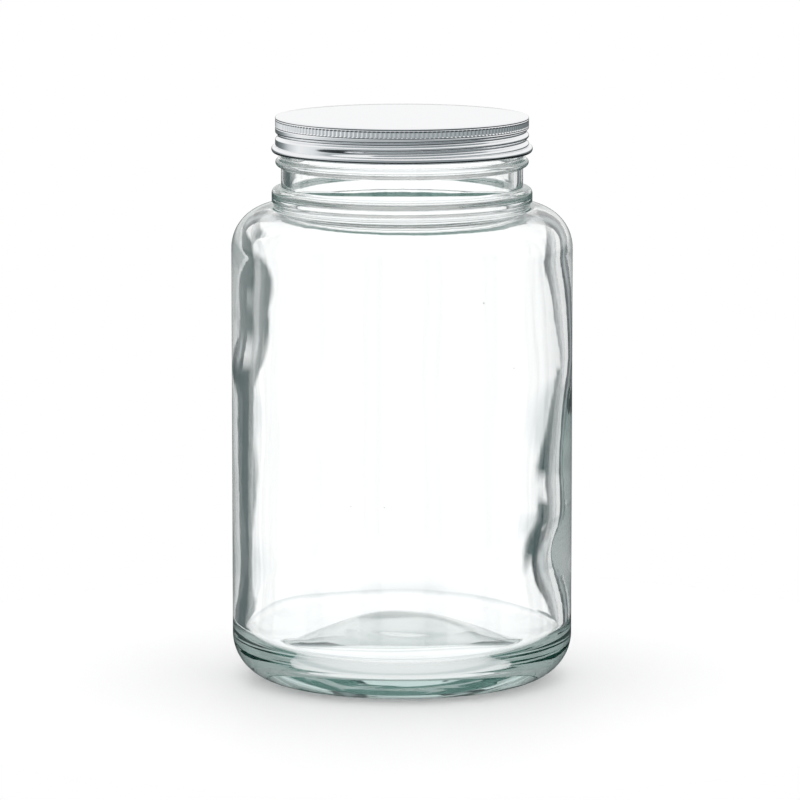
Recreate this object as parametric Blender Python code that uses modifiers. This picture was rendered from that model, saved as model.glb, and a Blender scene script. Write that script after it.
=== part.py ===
"""Large clear glass storage jar with a screw-on aluminium lid.

Three separate pieces share one upright axis: the blown glass jar, the drawn aluminium lid
and the foam liner disc that seals the lid on the rim of the jar. The lid screws on by a
right-hand thread that is rolled into its skirt and meets the thread on the jar's neck.

Units are metres, +Z is up, and the origin is where the jar's axis meets the table.
"""

import math

import bpy

MM = 0.001

# Driving dimensions of the jar
BODY_RADIUS = 76.0 * MM
BODY_WALL = 4.0 * MM
FLOOR_HEIGHT = 10.0 * MM
HEEL_RADIUS = 20.0 * MM
INNER_HEEL_RADIUS = 14.0 * MM
CONTACT_INNER_RADIUS = 47.0 * MM
PUSH_UP = 12.0 * MM
DOME_RUNS = 6
SHOULDER_RADIUS = 19.0 * MM
SHOULDER_TOP = 211.0 * MM
INNER_SHOULDER_RADIUS = 14.5 * MM

# The neck: its wall, the two beads round it and the rim
NECK_RADIUS = 53.8 * MM
MOUTH_RADIUS = 49.8 * MM
NECK_FILLET = 4.5 * MM
RING_RADIUS = 58.0 * MM
RING_BOTTOM = 213.0 * MM
RING_TOP = 221.0 * MM
RING_EDGE = 2.2 * MM
BEAD_RADIUS = 56.3 * MM
BEAD_CENTRE = 231.7 * MM
BEAD_HALF_HEIGHT = 2.0 * MM
RIM_TOP = 249.9 * MM
RIM_EDGE = 1.6 * MM

# The lid, the sheet that it is drawn from and the curl round its lower edge
LID_TOP = 252.0 * MM
LID_BOTTOM = 236.2 * MM
LID_RADIUS = 56.37 * MM
LID_SHEET = 0.32 * MM
LID_EDGE = 0.6 * MM
CURL_RADIUS = 58.1 * MM
CURL_HALF_HEIGHT = 1.4 * MM

# The liner sits between the lid's panel and the rim, with a hair of room on both sides
LINER_RADIUS = 55.0 * MM
LINER_THICKNESS = 1.1 * MM
LINER_CHAMFER = 0.3 * MM
GAP = 0.3 * MM

# The screw thread: height of its centre line at angle 0, and the turn where each end lies
THREAD_LEAD = 3.8 * MM
THREAD_ROW = 0.6 * MM
RUN_OUT = math.radians(25)
LID_THREAD = {
    "centre": 241.7 * MM,
    "start": math.radians(-119),
    "end": math.radians(420),
    "half_width": 1.3 * MM,
    "height": -1.2 * MM,
}
GLASS_THREAD = {
    "centre": LID_THREAD["centre"] + 1.3 * MM,
    "start": math.radians(-90),
    "end": math.radians(360),
    "half_width": 1.5 * MM,
    "height": 1.6 * MM,
}

STEPS = 48
SMOOTH_UNDER = math.radians(32)


def clear_scene():
    for old in list(bpy.data.objects):
        bpy.data.objects.remove(old, do_unlink=True)


def make_material(name, colour, roughness, metallic=0.0, transmission=0.0):
    material = bpy.data.materials.new(name)
    material.use_nodes = True
    shader = material.node_tree.nodes["Principled BSDF"]
    shader.inputs["Base Color"].default_value = (*colour, 1.0)
    shader.inputs["Roughness"].default_value = roughness
    shader.inputs["Metallic"].default_value = metallic
    shader.inputs["Transmission Weight"].default_value = transmission
    return material


def clear_glass():
    material = make_material("clear_glass", (0.93, 0.97, 0.95), 0.02, transmission=1.0)
    material.node_tree.nodes["Principled BSDF"].inputs["IOR"].default_value = 1.52
    return material


def satin_aluminium():
    return make_material("satin_aluminium", (0.80, 0.81, 0.84), 0.34, metallic=1.0)


def white_foam():
    return make_material("white_foam", (0.92, 0.92, 0.90), 0.85)


def arc(centre, radii, start, end, segments):
    """Points round an ellipse in the profile plane, from one angle to another in degrees."""
    points = []
    for step in range(segments + 1):
        angle = math.radians(start + (end - start) * step / segments)
        across = centre[0] + radii[0] * math.cos(angle)
        up = centre[1] + radii[1] * math.sin(angle)
        points.append((across, up))
    return points


def rows(radius, top, bottom, spacing):
    """Points straight down a wall, or up it, close enough together to carry a thread."""
    count = max(1, round(abs(top - bottom) / spacing))
    return [(radius, top + (bottom - top) * step / count) for step in range(count + 1)]


def thread_ends(thread):
    """Lowest and highest place that the thread's ridge reaches."""
    low = thread["centre"] + THREAD_LEAD * thread["start"] / math.tau - thread["half_width"]
    high = thread["centre"] + THREAD_LEAD * thread["end"] / math.tau + thread["half_width"]
    return low, high


def smooth_step(value):
    value = min(max(value, 0.0), 1.0)
    return value * value * (3 - 2 * value)


def thread_share(angle, height, thread):
    """Share of the full thread height, 0 to 1, at one place on a threaded wall."""
    best = 0.0
    first = math.floor((thread["start"] - angle) / math.tau)
    last = math.ceil((thread["end"] - angle) / math.tau)
    for turn in range(first, last + 1):
        along = angle + turn * math.tau
        off = abs(height - thread["centre"] - THREAD_LEAD * along / math.tau)
        if off >= thread["half_width"]:
            continue
        crown = 0.5 + 0.5 * math.cos(math.pi * off / thread["half_width"])
        run_in = smooth_step((along - thread["start"]) / RUN_OUT)
        run_out = smooth_step((thread["end"] - along) / RUN_OUT)
        best = max(best, crown * run_in * run_out)
    return best


def roll_thread(mesh, thread, least_radius, base_height):
    """Moves a turned wall out, or in for a negative height, along the helix."""
    for vertex in mesh.vertices:
        radius = math.hypot(vertex.co.x, vertex.co.y)
        if radius < least_radius:
            continue
        angle = math.atan2(vertex.co.y, vertex.co.x)
        share = thread_share(angle, vertex.co.z + base_height, thread)
        scale = 1 + share * thread["height"] / radius
        vertex.co.x *= scale
        vertex.co.y *= scale


def turned(name, profile, base_height, collection):
    """Turns a profile of (radius, height) points into a closed body that stands at base_height."""
    mesh = bpy.data.meshes.new(name + "_profile")
    points = [(across, 0.0, up - base_height) for across, up in profile]
    edges = [(n, n + 1) for n in range(len(points) - 1)]
    mesh.from_pydata(points, edges, [])
    piece = bpy.data.objects.new(name, mesh)
    collection.objects.link(piece)
    screw = piece.modifiers.new("Turn", "SCREW")
    screw.steps = STEPS
    screw.render_steps = STEPS
    screw.use_merge_vertices = True
    screw.merge_threshold = 0.0001
    piece.location.z = base_height
    return piece


def finish_turning(piece, material):
    """Keeps the turned shape as plain faces, shades it smooth and gives it its material."""
    graph = bpy.context.evaluated_depsgraph_get()
    outline = piece.data
    mesh = bpy.data.meshes.new_from_object(piece.evaluated_get(graph))
    piece.modifiers.clear()
    piece.data = mesh
    bpy.data.meshes.remove(outline)
    mesh.name = piece.name
    mesh.materials.clear()
    mesh.materials.append(material)
    mesh.shade_smooth()
    mesh.set_sharp_from_angle(angle=SMOOTH_UNDER)


def dome(edge, low):
    """The pushed-up middle of the base, from the axis out to its edge."""
    points = []
    for n in range(DOME_RUNS + 1):
        share = n / DOME_RUNS
        height = low + PUSH_UP * (0.5 + 0.5 * math.cos(math.pi * share))
        points.append((edge * share, height))
    return points


def jar_inside():
    """From the middle of the floor out, up the inner wall and through the neck to the rim."""
    wall = BODY_RADIUS - BODY_WALL
    heel = wall - INNER_HEEL_RADIUS
    floor = FLOOR_HEIGHT
    shoulder = wall - INNER_SHOULDER_RADIUS
    shoulder_centre = SHOULDER_TOP - SHOULDER_RADIUS
    ceiling = shoulder_centre + INNER_SHOULDER_RADIUS
    points = dome(heel, floor)[:-1]
    points += arc((heel, floor + INNER_HEEL_RADIUS), (INNER_HEEL_RADIUS,) * 2, -90, 0, 6)
    points += arc((shoulder, shoulder_centre), (INNER_SHOULDER_RADIUS,) * 2, 0, 90, 6)
    throat = (MOUTH_RADIUS + NECK_FILLET, ceiling + NECK_FILLET)
    points += arc(throat, (NECK_FILLET,) * 2, -90, -180, 4)
    return points


def jar_rim():
    """Over the rounded rim, from the mouth to the outside of the neck."""
    height = RIM_TOP - RIM_EDGE
    inner = arc((MOUTH_RADIUS + RIM_EDGE, height), (RIM_EDGE,) * 2, 180, 90, 3)
    outer = arc((NECK_RADIUS - RIM_EDGE, height), (RIM_EDGE,) * 2, 90, 0, 3)
    return inner + outer


def jar_neck():
    """Down the threaded wall, over the level bead and round the heavy ring to the shoulder."""
    low, high = thread_ends(GLASS_THREAD)
    bead_depth = BEAD_RADIUS - NECK_RADIUS
    points = rows(NECK_RADIUS, high, low, THREAD_ROW)[1:]
    points += arc((NECK_RADIUS, BEAD_CENTRE), (bead_depth, BEAD_HALF_HEIGHT), 90, -90, 6)
    ring_inside = RING_RADIUS - RING_EDGE
    points += [(NECK_RADIUS, RING_TOP)]
    points += arc((ring_inside, RING_TOP - RING_EDGE), (RING_EDGE,) * 2, 90, 0, 3)
    points += arc((ring_inside, RING_BOTTOM + RING_EDGE), (RING_EDGE,) * 2, 0, -70, 3)
    return points


def jar_outside():
    """Down the shoulder and the body, round the heel and under the base to the axis."""
    shoulder = (BODY_RADIUS - SHOULDER_RADIUS, SHOULDER_TOP - SHOULDER_RADIUS)
    points = arc(shoulder, (SHOULDER_RADIUS,) * 2, 90, 0, 7)
    heel = (BODY_RADIUS - HEEL_RADIUS, HEEL_RADIUS)
    points += arc(heel, (HEEL_RADIUS,) * 2, 0, -90, 7)
    points += dome(CONTACT_INNER_RADIUS, 0.0)[::-1]
    return points


def make_glass_jar(collection):
    profile = jar_inside() + jar_rim() + jar_neck() + jar_outside()
    piece = turned("glass_jar", profile, 0.0, collection)
    finish_turning(piece, clear_glass())
    outer_wall_only = 0.5 * (MOUTH_RADIUS + NECK_RADIUS)
    roll_thread(piece.data, GLASS_THREAD, outer_wall_only, 0.0)
    return piece


def lid_profile():
    """Over the panel, down the skirt, round the curl and back up the inside."""
    low, high = thread_ends(LID_THREAD)
    inner = LID_RADIUS - LID_SHEET
    edge = arc((LID_RADIUS - LID_EDGE, LID_TOP - LID_EDGE), (LID_EDGE,) * 2, 90, 0, 3)
    curl_width = 0.5 * (CURL_RADIUS - inner)
    curl = (CURL_RADIUS - curl_width, LID_BOTTOM + CURL_HALF_HEIGHT)
    curl_start = math.degrees(math.acos((LID_RADIUS - curl[0]) / curl_width))
    corner = LID_EDGE - LID_SHEET
    panel = LID_TOP - LID_SHEET
    points = [(0.0, LID_TOP)] + edge
    points += rows(LID_RADIUS, high, low, THREAD_ROW)
    points += arc(curl, (curl_width, CURL_HALF_HEIGHT), curl_start, -180, 8)
    points += rows(inner, low, high, THREAD_ROW)
    points += arc((inner - corner, panel - corner), (corner,) * 2, 0, 90, 2)
    points += [(0.0, panel)]
    return points


def make_lid_shell(collection):
    piece = turned("lid_shell", lid_profile(), LID_BOTTOM, collection)
    finish_turning(piece, satin_aluminium())
    roll_thread(piece.data, LID_THREAD, LINER_RADIUS, LID_BOTTOM)
    return piece


def make_lid_liner(collection):
    """The foam disc, with its edges just broken."""
    bottom = RIM_TOP + GAP
    top = bottom + LINER_THICKNESS
    inner = LINER_RADIUS - LINER_CHAMFER
    profile = [(0.0, top), (inner, top), (LINER_RADIUS, top - LINER_CHAMFER)]
    profile += [(LINER_RADIUS, bottom + LINER_CHAMFER), (inner, bottom), (0.0, bottom)]
    piece = turned("lid_liner", profile, bottom, collection)
    finish_turning(piece, white_foam())
    return piece


def hang_on(parent, piece):
    """Parents a piece and leaves it where it stands."""
    piece.parent = parent
    piece.matrix_parent_inverse = parent.matrix_basis.inverted()


def main():
    clear_scene()
    collection = bpy.data.collections.new("glass_storage_jar")
    bpy.context.scene.collection.children.link(collection)
    make_glass_jar(collection)
    liner = make_lid_liner(collection)
    shell = make_lid_shell(collection)
    axis = bpy.data.objects.new("lid_axis", None)
    axis.location.z = LID_BOTTOM
    axis.empty_display_size = 0.02
    collection.objects.link(axis)
    hang_on(axis, liner)
    hang_on(liner, shell)


main()
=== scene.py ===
"""The looks of a large clear glass storage jar with a screw-on satin aluminium lid.

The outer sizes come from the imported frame. The jar, the lid and the liner are turned again
inside them at full detail, with a thread, an uneven blown inner wall, a knurled and rolled lid
skirt and a pressed foam liner. Units are metres, +Z is up and the jar's front faces -Y.
"""

import math

import bmesh
import bpy
import numpy as np
from mathutils import Matrix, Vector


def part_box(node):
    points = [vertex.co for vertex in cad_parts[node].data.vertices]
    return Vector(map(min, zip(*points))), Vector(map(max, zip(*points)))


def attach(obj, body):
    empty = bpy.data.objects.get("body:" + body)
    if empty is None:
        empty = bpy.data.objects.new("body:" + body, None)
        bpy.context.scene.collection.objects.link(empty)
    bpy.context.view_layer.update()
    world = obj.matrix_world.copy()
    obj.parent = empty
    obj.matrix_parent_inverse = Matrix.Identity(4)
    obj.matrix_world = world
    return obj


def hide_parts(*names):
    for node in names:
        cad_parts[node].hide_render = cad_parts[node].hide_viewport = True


MM = 0.001
DEG = math.pi / 180

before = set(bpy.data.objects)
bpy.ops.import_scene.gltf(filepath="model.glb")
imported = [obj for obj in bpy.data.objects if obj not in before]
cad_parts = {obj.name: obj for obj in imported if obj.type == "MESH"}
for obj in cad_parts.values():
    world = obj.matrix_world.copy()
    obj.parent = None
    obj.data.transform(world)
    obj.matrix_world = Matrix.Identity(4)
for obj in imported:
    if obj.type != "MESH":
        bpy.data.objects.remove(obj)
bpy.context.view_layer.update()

# Sizes that the frame gives
JAR_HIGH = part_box("glass_jar")[1]
SHELL_LOW, SHELL_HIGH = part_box("lid_shell")
LINER_LOW, LINER_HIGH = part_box("lid_liner")
BODY_RADIUS = JAR_HIGH[0]
RIM_TOP = JAR_HIGH[2]
LID_TOP = SHELL_HIGH[2]
LID_BOTTOM = SHELL_LOW[2]
CURL_RADIUS = SHELL_HIGH[0]

# The jar's outline, inside those sizes. The floor and the push-up below it are domes, whose
# heights are taken from FLOOR_HEIGHT and from the ground
BODY_WALL = 5.0 * MM
HEEL_RADIUS = 20.0 * MM
INNER_HEEL_RADIUS = 15.0 * MM
FLOOR_HEIGHT = 12.0 * MM
CONTACT_OUTER = 56.0 * MM
CONTACT_INNER = 51.0 * MM
PUSH_UP = 14.0 * MM
FLOOR_RISE = 16.0 * MM
DOME_POWER = 1.15
SHOULDER_RADIUS = 19.0 * MM
SHOULDER_TOP = 212.3 * MM
INNER_SHOULDER_RADIUS = 16.0 * MM
INNER_SHOULDER_DROP = 1.6 * MM
NECK_RADIUS = 53.8 * MM
MOUTH_RADIUS = 49.8 * MM
THROAT_ROUND = 2.6 * MM
# How far the bore's lower end leans outwards, from the bottom up: height and degrees
THROAT_LEAN = [
    (208.0 * MM, 21.0),
    (215.4 * MM, 21.0),
    (216.6 * MM, 42.0),
    (218.6 * MM, 42.0),
    (219.8 * MM, 0.0),
]
RING_RADIUS = 58.0 * MM
RING_BOTTOM = 213.2 * MM
RING_TOP = 220.3 * MM
RING_SLOPE = (2.2 * MM, 2.6 * MM)
RING_EDGE = 1.5 * MM
RING_FILLET = 0.8 * MM
BEAD_RADIUS = 56.3 * MM
BEAD_CENTRE = 231.7 * MM
BEAD_HALF_HEIGHT = 2.0 * MM
BEAD_CLEAR = 2.6 * MM
RIM_EDGE = 1.7 * MM

# The lid's sheet and its bands, from the top edge down
LID_RADIUS = 56.37 * MM
LID_SHEET = 0.32 * MM
LID_EDGE = 0.55 * MM
CREASE_HEIGHT = LID_TOP - 0.95 * MM
CREASE_BELOW = LID_TOP - 4.7 * MM
CREASE_DEPTH = 0.30 * MM
CREASE_WIDTH = 0.16 * MM
CREASE_BELOW_SHARE = 0.6
KNURL_TOP = LID_TOP - 1.25 * MM
KNURL_BOTTOM = LID_TOP - 4.4 * MM
KNURL_DEPTH = 0.33 * MM
KNURL_EDGE = 0.5 * MM
KNURL_RIBS = 174
CURL_HALF_HEIGHT = 1.4 * MM

# The foam liner, and the ring that the rim of the jar presses into it
LINER_EDGE = 0.3 * MM
RIM_PRINT_DEPTH = 0.25 * MM
RIM_PRINT_WIDTH = 1.3 * MM
FINE_FROM = MOUTH_RADIUS - 1.5 * MM

# The screw thread
THREAD_LEAD = 3.8 * MM
RUN_OUT = 45 * DEG
LID_THREAD = {
    "centre": 241.7 * MM,
    "start": -138 * DEG,
    "end": 420 * DEG,
    "half_width": 1.7 * MM,
    "height": -1.2 * MM,
}
GLASS_THREAD = {
    "centre": 243.0 * MM,
    "start": -90 * DEG,
    "end": 360 * DEG,
    "half_width": 1.5 * MM,
    "height": 1.6 * MM,
}

# The camera stands on the jar's front axis, with a long lens that looks a little down
CAMERA_DISTANCE = 2.700
CAMERA_HEIGHT = 0.523
CAMERA_PITCH = 8.394 * DEG
CAMERA_SIDE = -0.9 * MM
LENS_MM = 274.8
FLOOR_RADIUS = 0.26
FLOOR_GAP = 0.05 * MM

WHITE = (1.0, 1.0, 1.0, 1.0)
# The studio as seen through the glass is a ring of panels. Its brightness is given across a
# panel, from its middle to the middle of the gap, and by height
HALF_PANEL = 22.5 * DEG
PANEL_STOPS = [(0.0, 1.0), (0.63, 1.0), (0.68, 0.07), (0.84, 0.09), (0.92, 0.35), (1.0, 0.45)]
CAP_STOPS = [
    (0.0, 0.95),
    (0.235, 0.90),
    (0.265, 0.74),
    (0.305, 0.74),
    (0.33, 0.95),
    (0.5, 0.6),
    (0.66, 0.5),
    (0.75, 1.0),
]
CAP_MASK = [(0.33, 1.0), (0.39, 0.0), (0.62, 0.0), (0.72, 1.0)]
# To the left of the line of sight a white card stands before a dark flag, and its edge leans.
# These are by turn, by height, and by turn along the card's leaning edge
CARD_SIDES = [(0.366, 0.0), (0.380, 1.0), (0.462, 1.0), (0.468, 0.0)]
CARD_HEIGHTS = [(0.385, 0.0), (0.40, 1.0), (0.474, 1.0), (0.497, 0.0)]
CARD_EDGE = [(0.430, 0.0), (0.437, 1.0)]
CARD_LEAN = 0.76
CARD_PIVOT = 0.433
FLAG_COLOUR = (0.028, 0.062, 0.060, 1.0)
# A narrow dark flag to the right, by turn and by height
FLAG_SIDES = [(0.528, 0.0), (0.532, 1.0), (0.549, 1.0), (0.556, 0.0)]
FLAG_HEIGHTS = [(0.416, 0.0), (0.422, 1.0), (0.450, 1.0), (0.456, 0.0)]
# The table under the jar starts just below the line of sight through the walls
TABLE_SHADE = [(0.0, 1.0), (0.41, 1.0), (0.4385, 0.76), (0.4432, 1.0), (1.0, 1.0)]
TABLE_NEAR = [(0.0, 1.0), (0.37, 1.0), (0.41, 0.0)]
TABLE_NEAR_FROM = -0.2
TABLE_COLOUR = (0.93, 0.94, 0.94, 1.0)
# Light that was mirrored more than once in the glass fades to a grey, by this much each time
DEEP_GREY = (0.50, 0.49, 0.49, 1.0)
DEEP_RATE = 0.3
DEEP_SHARE = 0.9
# The room that the lid mirrors: low down by turn, from behind over the left, and white above
ROOM_SIDES = [
    (0.0, 0.50),
    (0.08, 0.52),
    (0.16, 0.62),
    (0.24, 0.85),
    (0.30, 0.96),
    (0.35, 0.66),
    (0.38, 0.34),
    (0.40, 0.22),
    (0.45, 0.12),
    (0.55, 0.12),
    (0.61, 0.20),
    (0.68, 0.20),
    (0.74, 0.26),
    (0.80, 0.38),
    (0.86, 0.40),
    (0.93, 0.42),
    (1.0, 0.50),
]
ROOM_LOW = [
    (0.0, 0.30),
    (0.28, 0.05),
    (0.425, 0.10),
    (0.446, 1.0),
    (0.47, 1.0),
    (0.58, 0.6),
    (1.0, 0.6),
]
ROOM_LEVEL = [(0.0, 0.0), (0.485, 0.0), (0.512, 1.0), (1.0, 1.0)]
ROOM_TILT = 0.29
ROOM_HIGH = 0.985
# Light that only passed through the glass, without being mirrored, is a little stronger
STRAIGHT_BOOST = 0.17
LIGHT_BOUNCES = 96
FLOOR_LIGHT = 1.31

# Points round each turned body
JAR_STEPS = 360
LID_STEPS = 2 * KNURL_RIBS
LINER_STEPS = 180

# Where the blown wall is thick or thin: angle, width round, height, width up, depth
SWELLINGS = [
    (180, 42, 184, 26, 2.8),
    (180, 42, 156, 13, 0.9),
    (184, 40, 95, 42, 1.1),
    (188, 40, 40, 26, 0.9),
    (0, 36, 192, 18, 1.0),
    (0, 36, 140, 16, -0.8),
    (2, 38, 92, 20, 1.3),
    (-2, 38, 54, 15, 2.3),
    (90, 60, 120, 60, 0.4),
]
# Seeds and bubbles in the glass: x, y, z, radius
BUBBLES = [
    (-40.0, 30.0, 8.0, 1.5),
    (14.2, -64.5, 205.6, 0.40),
    (35.0, -64.2, 176.8, 0.32),
    (-22.0, -69.8, 88.0, 0.28),
    (52.0, 51.0, 132.0, 0.30),
    (-8.0, 73.0, 64.0, 0.34),
]


# ---------------------------------------------------------------- outlines

def arc(centre, radii, start, end, segments):
    """Points round an ellipse in the (radius, height) plane, between two angles in degrees."""
    angles = np.radians(np.linspace(start, end, segments + 1))
    across = centre[0] + radii[0] * np.cos(angles)
    up = centre[1] + radii[1] * np.sin(angles)
    return list(zip(across, up))


def line(start, end, spacing):
    """Points from start to end, no further apart than spacing."""
    length = math.dist(start, end)
    count = max(1, math.ceil(length / spacing))
    return [tuple(np.array(start) + (np.array(end) - start) * n / count) for n in range(count + 1)]


def joined(*runs):
    """One outline from several runs, without doubled points."""
    points = []
    for point in (p for run in runs for p in run):
        if not points or math.dist(points[-1], point) > 0.02 * MM:
            points.append(tuple(point))
    return points


def smooth_step(value):
    value = np.clip(value, 0.0, 1.0)
    return value * value * (3 - 2 * value)


# ---------------------------------------------------------------- turned meshes

def ring_points(radius, height, steps):
    angles = np.arange(steps) * math.tau / steps
    heights = np.full(steps, height)
    return np.stack([radius * np.cos(angles), radius * np.sin(angles), heights], axis=1)


def stitch(faces, upper, lower):
    """Joins two rings of vertex numbers, where one may have a whole number of times more."""
    if len(upper) == 1 or len(lower) == 1:
        ring = lower if len(upper) == 1 else upper
        for n, here in enumerate(ring):
            after = ring[(n + 1) % len(ring)]
            faces.append((upper[0], here, after) if len(upper) == 1 else (here, lower[0], after))
        return
    if len(upper) == len(lower):
        for n in range(len(upper)):
            m = (n + 1) % len(upper)
            faces.append((upper[n], lower[n], lower[m], upper[m]))
        return
    fine, coarse = (upper, lower) if len(upper) > len(lower) else (lower, upper)
    share = len(fine) // len(coarse)
    for n in range(len(coarse)):
        m = (n + 1) % len(coarse)
        run = [fine[(n * share + k) % len(fine)] for k in range(share + 1)]
        half = share // 2
        found = [(run[k], coarse[n], run[k + 1]) for k in range(half)]
        found += [(run[half], coarse[n], coarse[m])]
        found += [(run[k], coarse[m], run[k + 1]) for k in range(half, share)]
        faces += found if fine is upper else [face[::-1] for face in found]


def turned(name, outline, steps_at, reshape):
    """A closed body turned from an outline that runs from axis to axis, then reshaped."""
    points, rings, faces = [], [], []
    for radius, height in outline:
        if radius < 1e-6:
            ring = np.array([[0.0, 0.0, height]])
        else:
            ring = ring_points(radius, height, steps_at(radius, height))
        rings.append(list(range(len(points), len(points) + len(ring))))
        points += list(ring)
    for upper, lower in zip(rings, rings[1:]):
        stitch(faces, upper, lower)
    mesh = bpy.data.meshes.new(name)
    mesh.from_pydata(reshape(np.array(points)).tolist(), [], faces)
    mesh.validate()
    piece = bpy.data.objects.new(name, mesh)
    bpy.context.scene.collection.objects.link(piece)
    mesh.shade_smooth()
    return piece


def thread_share(angle, height, thread):
    """Share of the full thread height at places on a threaded wall."""
    best = np.zeros_like(angle)
    for turn in range(-1, 3):
        along = angle + turn * math.tau
        off = np.abs(height - thread["centre"] - THREAD_LEAD * along / math.tau)
        off = np.minimum(off / thread["half_width"], 1.0)
        crown = 0.5 + 0.5 * np.cos(math.pi * off)
        run_in = smooth_step((along - thread["start"]) / RUN_OUT)
        run_out = smooth_step((thread["end"] - along) / RUN_OUT)
        best = np.maximum(best, crown * run_in * run_out)
    return best


# ---------------------------------------------------------------- the glass jar

def throat_flare(ceiling):
    """The bore's lower end, from the shoulder's ceiling up to the straight bore."""
    lean = THROAT_LEAN[0][1] * DEG
    low = ceiling + THROAT_ROUND * (1 - math.sin(lean))
    heights = np.linspace(THROAT_LEAN[-1][0], low, 40)
    leans = np.interp(heights, [stop[0] for stop in THROAT_LEAN], [stop[1] for stop in THROAT_LEAN])
    slope = np.tan(leans * DEG)
    steps = -0.5 * (slope[1:] + slope[:-1]) * np.diff(heights)
    radii = MOUTH_RADIUS + np.concatenate([[0.0], np.cumsum(steps)])
    centre = (radii[-1] + THROAT_ROUND * math.cos(lean), ceiling + THROAT_ROUND)
    corner = arc(centre, (THROAT_ROUND,) * 2, -90, math.degrees(lean) - 180, 10)
    return corner[:-1] + list(zip(radii[::-1].tolist(), heights[::-1].tolist()))


def jar_inside():
    """From the middle of the floor, still flat, up the inner wall to the top of the rim."""
    wall = BODY_RADIUS - BODY_WALL
    heel = wall - INNER_HEEL_RADIUS
    shoulder_height = SHOULDER_TOP - SHOULDER_RADIUS - INNER_SHOULDER_DROP
    shoulder = (wall - INNER_SHOULDER_RADIUS, shoulder_height)
    throat = throat_flare(shoulder[1] + INNER_SHOULDER_RADIUS)
    meeting = math.degrees(math.acos((throat[0][0] - shoulder[0]) / INNER_SHOULDER_RADIUS))
    heel_centre = (heel, FLOOR_HEIGHT + INNER_HEEL_RADIUS)
    mouth = (MOUTH_RADIUS, RIM_TOP - RIM_EDGE)
    return joined(
        line((0.0, FLOOR_HEIGHT), (heel, FLOOR_HEIGHT), 1.6 * MM),
        arc(heel_centre, (INNER_HEEL_RADIUS,) * 2, -90, 0, 26),
        line((wall, heel_centre[1]), (wall, shoulder[1]), 4.0 * MM),
        arc(shoulder, (INNER_SHOULDER_RADIUS,) * 2, 0, meeting, 24),
        throat,
        line(throat[-1], mouth, 3.0 * MM),
        arc((MOUTH_RADIUS + RIM_EDGE, mouth[1]), (RIM_EDGE,) * 2, 180, 90, 6),
    )


def jar_neck():
    """From the top of the rim down the threaded neck, over the bead and the heavy ring."""
    thread_low = GLASS_THREAD["centre"] - THREAD_LEAD / 4 - GLASS_THREAD["half_width"]
    bead = (BEAD_RADIUS - NECK_RADIUS, BEAD_HALF_HEIGHT)
    slope = (RING_RADIUS - RING_SLOPE[0], RING_TOP - RING_SLOPE[1])
    edge = (RING_RADIUS - RING_EDGE, RING_BOTTOM + RING_EDGE)
    foot = (NECK_RADIUS, RING_TOP + RING_FILLET)
    return joined(
        arc((NECK_RADIUS - RIM_EDGE, RIM_TOP - RIM_EDGE), (RIM_EDGE,) * 2, 90, 0, 6),
        line((NECK_RADIUS, RIM_TOP - RIM_EDGE), (NECK_RADIUS, thread_low), 0.25 * MM),
        line((NECK_RADIUS, thread_low), (NECK_RADIUS, BEAD_CENTRE + BEAD_CLEAR), 1.5 * MM),
        arc((NECK_RADIUS, BEAD_CENTRE), bead, 90, -90, 14),
        line((NECK_RADIUS, BEAD_CENTRE - BEAD_CLEAR), foot, 2.0 * MM),
        arc((foot[0] + RING_FILLET, foot[1]), (RING_FILLET,) * 2, 180, 270, 4),
        arc(slope, RING_SLOPE, 90, 0, 14),
        arc(edge, (RING_EDGE,) * 2, 0, -62, 6),
    )


def jar_outside():
    """From the shoulder down the outer wall to the middle of the base, still flat."""
    shoulder = (BODY_RADIUS - SHOULDER_RADIUS, SHOULDER_TOP - SHOULDER_RADIUS)
    heel = (BODY_RADIUS - HEEL_RADIUS, HEEL_RADIUS)
    return joined(
        arc(shoulder, (SHOULDER_RADIUS,) * 2, 90, 0, 30),
        line((BODY_RADIUS, shoulder[1]), (BODY_RADIUS, HEEL_RADIUS), 4.0 * MM),
        arc(heel, (HEEL_RADIUS,) * 2, 0, -90, 36),
        line((CONTACT_OUTER, 0.0), (CONTACT_INNER, 0.0), 2.0 * MM),
        line((CONTACT_INNER, 0.0), (0.0, 0.0), 3.0 * MM),
    )


def gaussian(value, centre, width):
    return np.exp(-(((value - centre) / width) ** 2))


def lobe(angle, centre, width):
    """A smooth swelling round the jar, centred on an angle in degrees."""
    off = np.angle(np.exp(1j * (angle - centre * DEG)))
    return np.exp(-((off / (width * DEG)) ** 2))


def inner_wave(angle, height):
    """How much the blown inner wall stands in from its mean, in metres.

    Each swelling is (angle, width round the jar, height, width up the jar, depth), in degrees
    and millimetres.
    """
    z = height / MM
    wave = 0.22 * np.sin(2 * angle + z / 38 + 0.6) * np.sin(z / 27 + 1.0)
    wave += 0.16 * np.sin(3 * angle - z / 31 + 2.1)
    wave += 0.10 * np.sin(7 * angle + z / 17 + 4.0) * np.cos(z / 41)
    for centre, around, middle, along, depth in SWELLINGS:
        wave += depth * lobe(angle, centre, around) * gaussian(z, middle, along)
    fade = smooth_step((z - 12) / 22) * smooth_step((210 - z) / 20)
    return wave * fade * MM


def base_wave(x, y):
    """The swirl that the pushed-up base was left with, in metres."""
    u, v = x / MM, y / MM
    radius = np.hypot(u, v)
    angle = np.arctan2(v, u)
    wave = 0.9 * np.exp(-((u + 8) ** 2 + (v - 6) ** 2) / 12**2)
    crescent = gaussian(np.hypot(u - 4, v + 6), 26.0, 4.0)
    wave += 0.45 * crescent * (0.5 - 0.5 * np.sin(angle))
    wave += 0.35 * np.sin(radius / 6.5 + 2.0 * angle) * gaussian(radius, 40.0, 16.0)
    return wave * MM


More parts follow.
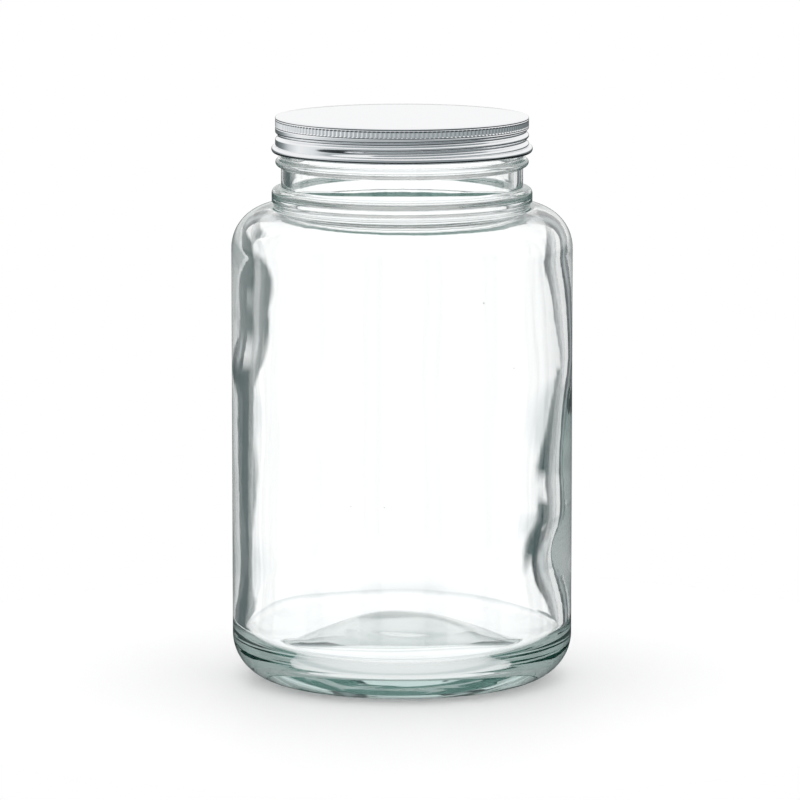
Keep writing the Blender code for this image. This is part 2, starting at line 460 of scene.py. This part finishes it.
def jar_reshape(inner_rings):
    """Gives the turned jar its thread, its uneven inside and its domed base.

    The first of its rings, inner_rings in number, are the inside, and the very first of them is
    the one point on the axis.
    """
    inner_points = 1 + (inner_rings - 1) * JAR_STEPS

    def reshape(points):
        x, y, z = points.T
        radius = np.hypot(x, y)
        angle = np.arctan2(y, x)
        inner = np.arange(len(points)) < inner_points
        moved = radius.copy()
        lifted = z.copy()
        # the thread on the outside of the neck
        neck = ~inner & (z > BEAD_CENTRE + 3 * MM) & (radius > NECK_RADIUS - 0.1 * MM)
        moved[neck] += GLASS_THREAD["height"] * thread_share(angle[neck], z[neck], GLASS_THREAD)
        # the uneven inside
        moved[inner] -= inner_wave(angle[inner], z[inner]) * (radius[inner] > 30 * MM)
        # the dome of the floor and the push-up below it
        floor = inner & (z < FLOOR_HEIGHT + 0.1 * MM)
        share = np.clip(radius / (BODY_RADIUS - BODY_WALL - INNER_HEEL_RADIUS), 0, 1)
        rise = FLOOR_RISE * (1 - share**2) ** DOME_POWER + base_wave(x, y) * (1 - share**4)
        lifted[floor] += rise[floor]
        under = ~inner & (z < 0.01 * MM) & (radius < CONTACT_INNER)
        share = np.clip(radius / CONTACT_INNER, 0, 1)
        lifted[under] += PUSH_UP * (1 - share[under] ** 2) ** DOME_POWER
        return np.stack([moved * np.cos(angle), moved * np.sin(angle), lifted], axis=1)

    return reshape


def make_jar():
    inside = jar_inside()
    outline = joined(inside, jar_neck(), jar_outside())
    piece = turned("jar_glass", outline, lambda r, z: JAR_STEPS, jar_reshape(len(inside)))
    add_bubbles(piece.data)
    return piece


def add_bubbles(mesh):
    """Closes a few small pockets of air inside the thickness of the glass."""
    cage = bmesh.new()
    cage.from_mesh(mesh)
    for x, y, z, radius in BUBBLES:
        place = Matrix.Translation((x * MM, y * MM, z * MM))
        made = bmesh.ops.create_icosphere(
            cage, subdivisions=2, radius=radius * MM, matrix=place
        )
        faces = {face for vert in made["verts"] for face in vert.link_faces}
        bmesh.ops.reverse_faces(cage, faces=list(faces))
        for face in faces:
            face.smooth = True
    cage.to_mesh(mesh)
    cage.free()


# ---------------------------------------------------------------- the lid

def lid_outline():
    """From the middle of the lid's top, round the curl and back to the middle underneath."""
    inner = LID_RADIUS - LID_SHEET
    curl_width = 0.5 * (CURL_RADIUS - inner)
    curl = (CURL_RADIUS - curl_width, LID_BOTTOM + CURL_HALF_HEIGHT)
    curl_start = math.degrees(math.acos((LID_RADIUS - curl[0]) / curl_width))
    curl_top = curl[1] + CURL_HALF_HEIGHT * math.sin(math.radians(curl_start))
    corner = LID_EDGE - LID_SHEET
    panel = LID_TOP - LID_SHEET
    return joined(
        line((0.0, LID_TOP), (LID_RADIUS - LID_EDGE, LID_TOP), 6.0 * MM),
        arc((LID_RADIUS - LID_EDGE, LID_TOP - LID_EDGE), (LID_EDGE,) * 2, 90, 0, 5),
        line((LID_RADIUS, LID_TOP - LID_EDGE), (LID_RADIUS, KNURL_BOTTOM - 0.3 * MM), 0.2 * MM),
        line((LID_RADIUS, KNURL_BOTTOM - 0.3 * MM), (LID_RADIUS, curl_top), 0.14 * MM),
        arc(curl, (curl_width, CURL_HALF_HEIGHT), curl_start, -180, 18),
        line((inner, curl[1]), (inner, panel - corner), 0.35 * MM),
        arc((inner - corner, panel - corner), (corner,) * 2, 0, 90, 3),
        line((inner - corner, panel), (0.0, panel), 8.0 * MM),
    )


def lid_steps(radius, height):
    """The knurled band is cut fine enough for each rib to have its crest and its flanks."""
    knurled = KNURL_BOTTOM - 0.2 * MM < height < KNURL_TOP + 0.3 * MM
    return 4 * LID_STEPS if knurled and radius > LID_RADIUS - 0.05 * MM else LID_STEPS


def lid_reshape(points):
    """Rolls the thread into the skirt and presses the knurls into its upper band."""
    x, y, z = points.T
    radius = np.hypot(x, y)
    angle = np.arctan2(y, x)
    moved = radius.copy()
    skirt = (radius > LID_RADIUS - LID_SHEET - 0.05 * MM) & (z > LID_BOTTOM + 2.2 * MM)
    moved[skirt] += LID_THREAD["height"] * thread_share(angle[skirt], z[skirt], LID_THREAD)
    outer = radius > LID_RADIUS - 0.05 * MM
    band = smooth_step((KNURL_TOP - z) / KNURL_EDGE) * smooth_step((z - KNURL_BOTTOM) / KNURL_EDGE)
    rib = 0.5 - 0.5 * np.cos(KNURL_RIBS * angle)
    moved[outer] -= (KNURL_DEPTH * band * rib)[outer]
    crease = gaussian(z, CREASE_HEIGHT, CREASE_WIDTH)
    crease += CREASE_BELOW_SHARE * gaussian(z, CREASE_BELOW, CREASE_WIDTH)
    moved[outer] -= (CREASE_DEPTH * crease)[outer]
    return np.stack([moved * np.cos(angle), moved * np.sin(angle), z], axis=1)


def make_lid():
    return turned("lid_skirt_and_panel", lid_outline(), lid_steps, lid_reshape)


# ---------------------------------------------------------------- the liner

def liner_outline():
    """A thin disc with rounded edges, cut finer where the rim presses on it."""
    low, high = LINER_LOW[2], LINER_HIGH[2]
    side = LINER_HIGH[0] - LINER_EDGE
    return joined(
        line((0.0, high), (side, high), 4.0 * MM),
        arc((side, high - LINER_EDGE), (LINER_EDGE,) * 2, 90, 0, 3),
        arc((side, low + LINER_EDGE), (LINER_EDGE,) * 2, 0, -90, 3),
        line((side, low), (FINE_FROM, low), 0.5 * MM),
        line((FINE_FROM, low), (0.0, low), 4.0 * MM),
    )


def liner_reshape(points):
    """Presses the ring that the rim of the jar leaves in the foam."""
    x, y, z = points.T
    radius = np.hypot(x, y)
    under = z < LINER_LOW[2] + 0.01 * MM
    ring = gaussian(radius, 0.5 * (MOUTH_RADIUS + NECK_RADIUS), RIM_PRINT_WIDTH)
    lifted = z + np.where(under, RIM_PRINT_DEPTH * ring, 0.0)
    return np.stack([x, y, lifted], axis=1)


def make_liner():
    return turned("foam_liner_disc", liner_outline(), lambda r, z: LINER_STEPS, liner_reshape)


# ---------------------------------------------------------------- materials

def new_material(name):
    material = bpy.data.materials.new(name)
    material.use_nodes = True
    return material, material.node_tree, material.node_tree.nodes["Principled BSDF"]


def noise_node(tree, stretch, scale, detail, rough=0.5):
    """Object-space noise, stretched along each axis."""
    place = tree.nodes.new("ShaderNodeTexCoord").outputs["Object"]
    mapping = tree.nodes.new("ShaderNodeMapping")
    mapping.inputs["Scale"].default_value = stretch
    tree.links.new(place, mapping.inputs["Vector"])
    node = tree.nodes.new("ShaderNodeTexNoise")
    node.inputs["Scale"].default_value = scale
    node.inputs["Detail"].default_value = detail
    node.inputs["Roughness"].default_value = rough
    tree.links.new(mapping.outputs["Vector"], node.inputs["Vector"])
    return node.outputs["Fac"]


def spread_node(tree, value, low, high, at=(0.3, 0.7)):
    """The value between two limits, taken to run from low to high."""
    node = tree.nodes.new("ShaderNodeMapRange")
    node.inputs["From Min"].default_value = at[0]
    node.inputs["From Max"].default_value = at[1]
    node.inputs["To Min"].default_value = low
    node.inputs["To Max"].default_value = high
    tree.links.new(value, node.inputs["Value"])
    return node.outputs["Result"]


def bump_node(tree, height, depth, strength, under=None):
    node = tree.nodes.new("ShaderNodeBump")
    node.inputs["Strength"].default_value = strength
    node.inputs["Distance"].default_value = depth
    tree.links.new(height, node.inputs["Height"])
    if under is not None:
        tree.links.new(under, node.inputs["Normal"])
    return node.outputs["Normal"]


def clear_glass():
    """Soda-lime glass: colourless on the surface, a little green through its depth."""
    material, tree, shader = new_material("clear_glass")
    shader.inputs["Base Color"].default_value = WHITE
    shader.inputs["Roughness"].default_value = 0.0
    shader.inputs["IOR"].default_value = 1.52
    shader.inputs["Transmission Weight"].default_value = 1.0
    # the skin of the glass has long faint draws down the jar, and a finer orange peel
    draws = noise_node(tree, (1.0, 1.0, 0.22), 46.0, 1.0)
    peel = noise_node(tree, (1.0, 1.0, 0.5), 230.0, 1.0)
    ripple = bump_node(tree, draws, 0.12 * MM, 0.5)
    ripple = bump_node(tree, peel, 0.02 * MM, 0.5, ripple)
    tree.links.new(ripple, shader.inputs["Normal"])
    depth = tree.nodes.new("ShaderNodeVolumeAbsorption")
    depth.inputs["Color"].default_value = (0.26, 0.60, 0.54, 1.0)
    depth.inputs["Density"].default_value = 4.2
    tree.links.new(depth.outputs["Volume"], tree.nodes["Material Output"].inputs["Volume"])
    return material


def satin_aluminium():
    """Satin sheet: a very fine speckle and a soft uneven sheen."""
    material, tree, shader = new_material("satin_aluminium")
    shader.inputs["Metallic"].default_value = 1.0
    speckle = noise_node(tree, (1.0, 1.0, 1.0), 1600.0, 2.0)
    cloud = noise_node(tree, (1.0, 1.0, 1.0), 60.0, 4.0)
    tint = mix_node(tree, cloud, (0.85, 0.865, 0.885, 1.0), (0.90, 0.905, 0.915, 1.0))
    tree.links.new(tint, shader.inputs["Base Color"])
    tree.links.new(spread_node(tree, cloud, 0.10, 0.14), shader.inputs["Roughness"])
    grain = bump_node(tree, speckle, 0.006 * MM, 0.3)
    tree.links.new(grain, shader.inputs["Normal"])
    return material


def white_foam():
    """Closed-cell polyethylene foam with small round cells in its skin."""
    material, tree, shader = new_material("white_foam")
    cells = tree.nodes.new("ShaderNodeTexVoronoi")
    cells.inputs["Scale"].default_value = 1400.0
    place = tree.nodes.new("ShaderNodeTexCoord").outputs["Object"]
    tree.links.new(place, cells.inputs["Vector"])
    cell = cells.outputs["Distance"]
    mottle = noise_node(tree, (1.0, 1.0, 1.0), 120.0, 3.0)
    tint = mix_node(tree, mottle, (0.84, 0.84, 0.82, 1.0), (0.92, 0.92, 0.905, 1.0))
    tree.links.new(tint, shader.inputs["Base Color"])
    tree.links.new(spread_node(tree, cell, 0.7, 0.9, (0.0, 0.6)), shader.inputs["Roughness"])
    tree.links.new(bump_node(tree, cell, 0.12 * MM, 0.5), shader.inputs["Normal"])
    return material


# ---------------------------------------------------------------- floor, light and camera

def make_floor():
    mesh = bpy.data.meshes.new("floor")
    cage = bmesh.new()
    bmesh.ops.create_circle(cage, cap_ends=True, radius=FLOOR_RADIUS, segments=128)
    cage.to_mesh(mesh)
    cage.free()
    floor = bpy.data.objects.new("floor", mesh)
    bpy.context.scene.collection.objects.link(floor)
    floor.location.z = -FLOOR_GAP
    floor.visible_transmission = False
    floor.visible_glossy = False
    material, _, shader = new_material("white_floor")
    shader.inputs["Base Color"].default_value = (0.86, 0.86, 0.86, 1.0)
    shader.inputs["Roughness"].default_value = 0.6
    mesh.materials.append(material)


def math_node(tree, operation, *values):
    """A Math node; each value is a number or another node's output."""
    node = tree.nodes.new("ShaderNodeMath")
    node.operation = operation
    for socket, value in zip(node.inputs, values):
        if isinstance(value, (int, float)):
            socket.default_value = value
        else:
            tree.links.new(value, socket)
    return node.outputs[0]


def ramp_node(tree, factor, stops):
    """A colour ramp; each stop is (place, brightness), with a faint cool tint in the darks."""
    node = tree.nodes.new("ShaderNodeValToRGB")
    elements = node.color_ramp.elements
    while len(elements) < len(stops):
        elements.new(0.5)
    for element, (place, value) in zip(elements, stops):
        cool = 0.14 * max(0.0, 1.0 - value)
        element.position = place
        element.color = (value * (1 - cool), value, value * (1 + 0.3 * cool), 1.0)
    tree.links.new(factor, node.inputs["Fac"])
    return node.outputs["Color"]


def mix_node(tree, factor, first, second):
    """A Mix node between two colours; each is a tuple or another node's output."""
    node = tree.nodes.new("ShaderNodeMix")
    node.data_type = "RGBA"
    tree.links.new(factor, node.inputs["Factor"])
    for name, value in (("A", first), ("B", second)):
        socket = next(s for s in node.inputs if s.name == name and s.type == "RGBA")
        if isinstance(value, tuple):
            socket.default_value = value
        else:
            tree.links.new(value, socket)
    return next(s for s in node.outputs if s.type == "RGBA")


def multiply_node(tree, first, second):
    node = tree.nodes.new("ShaderNodeVectorMath")
    node.operation = "MULTIPLY"
    tree.links.new(first, node.inputs[0])
    tree.links.new(second, node.inputs[1])
    return node.outputs[0]


def patch_node(tree, turn, sides, height, heights):
    """How much of an upright patch of the studio a direction meets, from 0 to 1."""
    return multiply_node(tree, ramp_node(tree, turn, sides), ramp_node(tree, height, heights))


def panel_ring(tree, azimuth, height):
    """Tall lit panels with dark gaps, every 45 degrees, under a cap and over a ground."""
    off_panel = math_node(tree, "PINGPONG", azimuth, HALF_PANEL)
    off_panel = math_node(tree, "DIVIDE", off_panel, HALF_PANEL)
    panels = ramp_node(tree, off_panel, PANEL_STOPS)
    caps = ramp_node(tree, height, CAP_STOPS)
    return mix_node(tree, ramp_node(tree, height, CAP_MASK), panels, caps)


def add_card(tree, panels, turn, height):
    """Stands the white card with its leaning edge, and the dark flag behind it, to the left."""
    shifted = math_node(tree, "ADD", turn, CARD_LEAN * CARD_PIVOT)
    leaning = math_node(tree, "MULTIPLY_ADD", height, -CARD_LEAN, shifted)
    colour = mix_node(tree, ramp_node(tree, leaning, CARD_EDGE), FLAG_COLOUR, WHITE)
    return mix_node(tree, patch_node(tree, turn, CARD_SIDES, height, CARD_HEIGHTS), panels, colour)


def add_table(tree, panels, ahead, height):
    """Shades the table under the jar, and lights it on the camera's side."""
    panels = multiply_node(tree, panels, ramp_node(tree, height, TABLE_SHADE))
    near_side = math_node(tree, "LESS_THAN", ahead, TABLE_NEAR_FROM)
    lit = math_node(tree, "MULTIPLY", near_side, ramp_node(tree, height, TABLE_NEAR))
    return mix_node(tree, lit, panels, TABLE_COLOUR)


def lid_room(tree, ahead, turn, height):
    """The room that the lid mirrors: its dark side, behind the camera, stands higher."""
    low = patch_node(tree, turn, ROOM_SIDES, height, ROOM_LOW)
    behind = math_node(tree, "MINIMUM", ahead, 0.0)
    tilted = math_node(tree, "MULTIPLY_ADD", behind, ROOM_TILT, height)
    level = ramp_node(tree, tilted, ROOM_LEVEL)
    return mix_node(tree, level, low, (ROOM_HIGH, ROOM_HIGH, ROOM_HIGH, 1.0))


def light_world():
    """A white studio. What it shows depends on the light's way: straight to the camera it is
    white, through the glass it is the panels, and in the lid it is the room."""
    scene = bpy.context.scene
    world = bpy.data.worlds.new("studio")
    scene.world = world
    world.use_nodes = True
    world.cycles.sampling_method = "NONE"
    tree = world.node_tree
    tree.nodes.clear()
    out = tree.nodes.new("ShaderNodeOutputWorld")
    background = tree.nodes.new("ShaderNodeBackground")
    tree.links.new(background.outputs[0], out.inputs["Surface"])
    split = tree.nodes.new("ShaderNodeSeparateXYZ")
    tree.links.new(tree.nodes.new("ShaderNodeTexCoord").outputs["Generated"], split.inputs[0])
    across, ahead, up = split.outputs
    azimuth = math_node(tree, "ARCTAN2", across, ahead)
    # height runs from 0, straight down, through 0.5 at the horizon, to 1, straight up
    height = math_node(tree, "ARCSINE", up)
    height = math_node(tree, "MULTIPLY_ADD", height, 0.5 / (90 * DEG), 0.5)
    # turn runs from 0, behind the camera, over the jar's left at 0.25 to its right at 0.75
    turn = math_node(tree, "MULTIPLY_ADD", azimuth, 1.0 / math.tau, 0.5)
    panels = panel_ring(tree, azimuth, height)
    panels = add_card(tree, panels, turn, height)
    flag = patch_node(tree, turn, FLAG_SIDES, height, FLAG_HEIGHTS)
    panels = mix_node(tree, flag, panels, FLAG_COLOUR)
    panels = add_table(tree, panels, ahead, height)
    path = tree.nodes.new("ShaderNodeLightPath").outputs
    deep = math_node(tree, "MULTIPLY_ADD", path["Glossy Depth"], DEEP_RATE, -DEEP_RATE)
    deep.node.use_clamp = True
    panels = mix_node(tree, math_node(tree, "MULTIPLY", deep, DEEP_SHARE), panels, DEEP_GREY)
    through = math_node(tree, "GREATER_THAN", path["Transmission Depth"], 0.5)
    diffuse = math_node(tree, "GREATER_THAN", path["Diffuse Depth"], 0.5)
    mirrored = math_node(tree, "GREATER_THAN", path["Glossy Depth"], 0.5)
    seen = mix_node(tree, through, lid_room(tree, ahead, turn, height), panels)
    seen = mix_node(tree, diffuse, seen, (FLOOR_LIGHT, FLOOR_LIGHT, FLOOR_LIGHT, 1.0))
    seen = mix_node(tree, path["Is Camera Ray"], seen, WHITE)
    tree.links.new(seen, background.inputs["Color"])
    straight = math_node(tree, "SUBTRACT", through, mirrored)
    strength = math_node(tree, "MULTIPLY_ADD", straight, STRAIGHT_BOOST, 1.0)
    tree.links.new(math_node(tree, "MAXIMUM", strength, 1.0), background.inputs["Strength"])
    scene.view_settings.view_transform = "Standard"
    scene.cycles.max_bounces = LIGHT_BOUNCES
    scene.cycles.transmission_bounces = LIGHT_BOUNCES
    scene.cycles.glossy_bounces = LIGHT_BOUNCES


def make_camera():
    data = bpy.data.cameras.new("camera")
    data.lens = LENS_MM
    data.sensor_width = 36.0
    camera = bpy.data.objects.new("camera", data)
    bpy.context.scene.collection.objects.link(camera)
    camera.location = (CAMERA_SIDE, -CAMERA_DISTANCE, CAMERA_HEIGHT)
    camera.rotation_euler = (math.pi / 2 - CAMERA_PITCH, 0.0, 0.0)
    bpy.context.scene.camera = camera


def finish_piece(piece, material, body, node):
    piece.data.materials.append(material)
    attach(piece, body)
    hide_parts(node)


def main():
    make_camera()
    light_world()
    make_floor()
    finish_piece(make_jar(), clear_glass(), "jar", "glass_jar")
    finish_piece(make_lid(), satin_aluminium(), "lid", "lid_shell")
    finish_piece(make_liner(), white_foam(), "liner", "lid_liner")


main()
